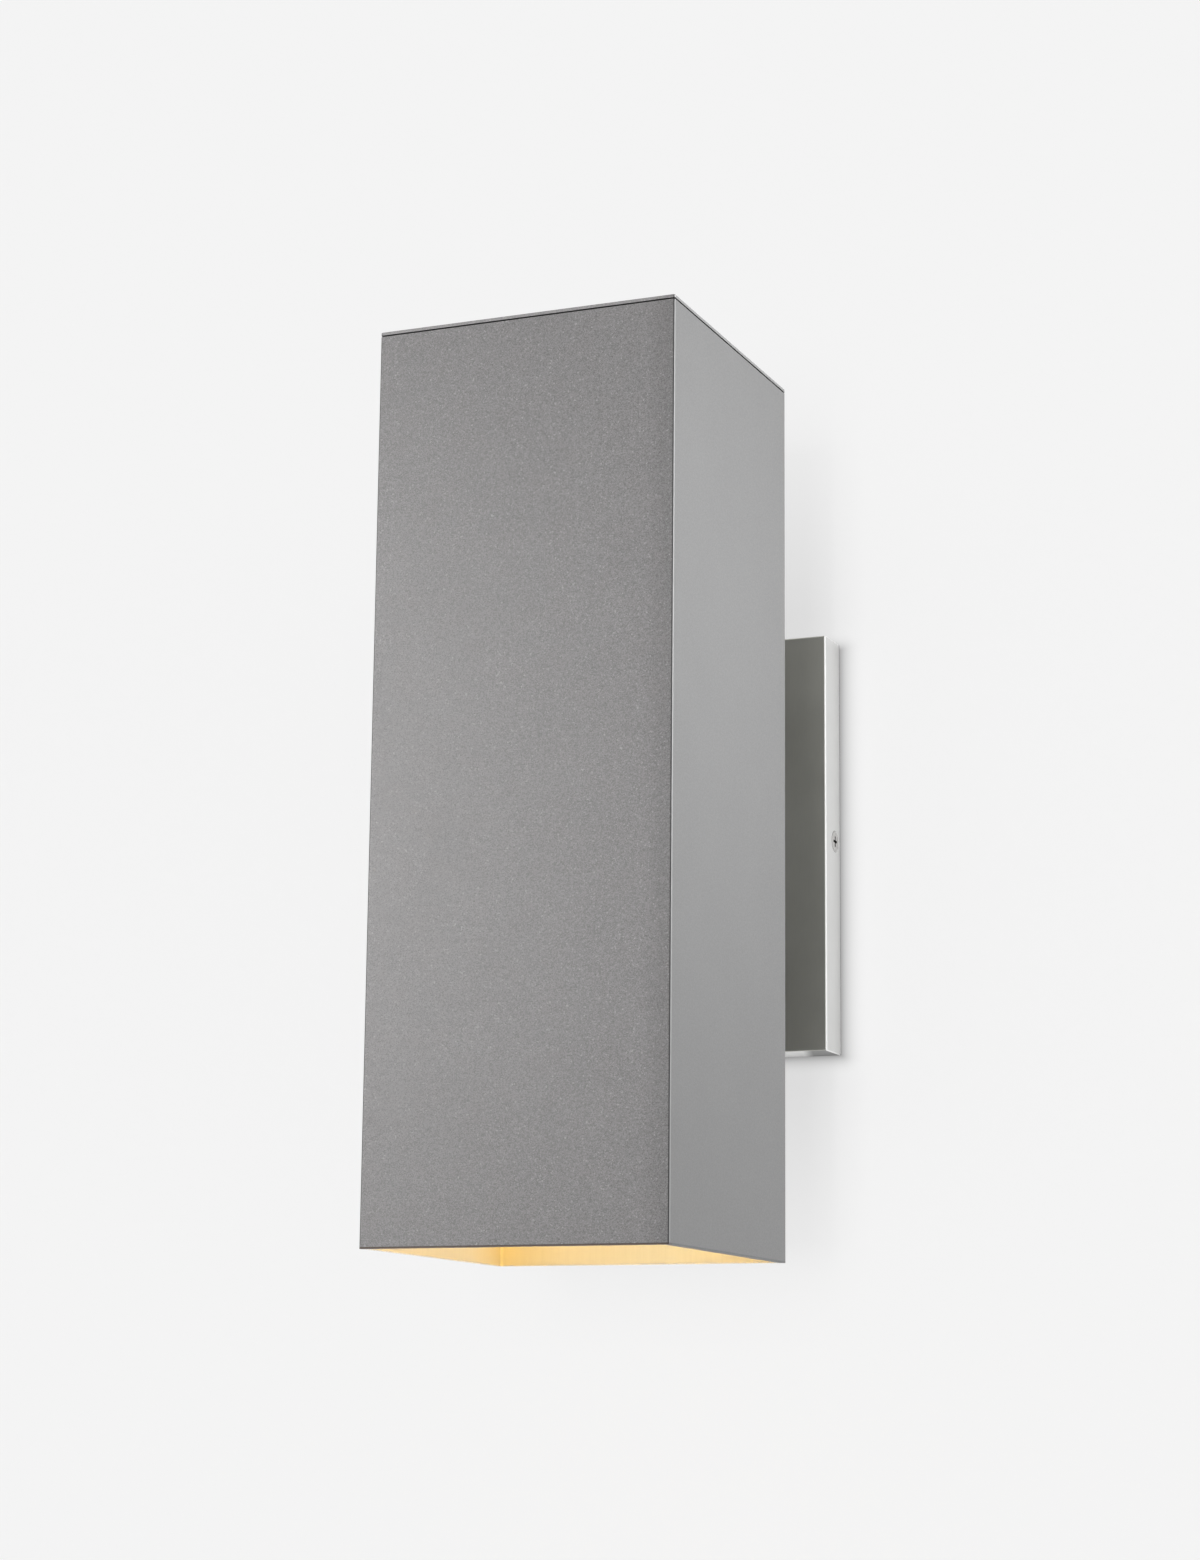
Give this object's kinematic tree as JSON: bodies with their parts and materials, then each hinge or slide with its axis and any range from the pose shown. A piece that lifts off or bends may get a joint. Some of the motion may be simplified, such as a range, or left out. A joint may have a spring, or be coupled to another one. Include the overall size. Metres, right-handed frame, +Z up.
{
  "type": "outdoor wall sconce",
  "caption": "Square upright metal tube light, open at the bottom, held off the wall by a short arm on a rectangular plate.",
  "frame": {"origin": "on the wall plane, at the middle between the two outlet box screw slots, level with the middle of the tube", "axes": "+Z up along the tube, +Y into the wall, +X to the right seen from in front"},
  "size_m": [0.108, 0.1618, 0.3048],
  "materials": {
    "housing_paint": "satin",
    "canopy_metal": "satin",
    "canopy_screw_metal": "satin",
    "zinc_steel": "satin",
    "green_screw": "satin",
    "tinned_copper": "satin",
    "black_rubber": "matte",
    "black_nylon": "satin",
    "socket_insulator": "satin",
    "shell_metal": "satin",
    "contact_brass": "satin",
    "lamp_cap_metal": "polished",
    "lamp_insulator": "gloss",
    "lamp_collar": "satin",
    "led_board": "matte",
    "lamp_diffuser": "satin",
    "black_lead": "satin",
    "white_lead": "satin",
    "green_lead": "satin",
    "connector_plastic": "satin"
  },
  "bodies": {
    "fixture": {"housing": "housing_paint", "lid": "housing_paint", "lid_gasket": "black_rubber", "lid_crossbars": "zinc_steel", "lid_studs": "zinc_steel", "lid_nuts": "zinc_steel", "lid_lock_washers": "zinc_steel", "arm": "housing_paint", "arm_front_gasket": "black_rubber", "arm_rear_gasket": "black_rubber", "arm_front_screws": "zinc_steel", "arm_rear_screws": "zinc_steel", "wire_bushings": "black_nylon", "canopy": "canopy_metal", "wall_gasket": "black_rubber", "wall_bracket": "zinc_steel", "canopy_screws": "canopy_screw_metal", "ground_screws": "green_screw", "ring_terminals": "tinned_copper", "socket_bracket": "zinc_steel", "socket_nipple": "zinc_steel", "socket_locknuts": "zinc_steel", "socket_cap": "socket_insulator", "socket_body": "socket_insulator", "screw_shell": "shell_metal", "centre_contact": "contact_brass", "terminal_screws": "contact_brass", "line_lead": "black_lead", "neutral_lead": "white_lead", "ground_lead": "green_lead", "ground_pigtail": "green_lead", "wire_connectors": "connector_plastic"},
    "lamp": {"lamp_cap_shell": "lamp_cap_metal", "lamp_cap_insulator": "lamp_insulator", "lamp_contact": "lamp_cap_metal", "lamp_heat_sink": "lamp_collar", "lamp_led_board": "led_board", "lamp_globe": "lamp_diffuser"}
  },
  "joints": [
    {"name": "lamp_removal", "type": "slide", "parent": "fixture", "child": "lamp", "axis": [0, 0, -1], "range_m": [0, 0.25]}
  ]
}
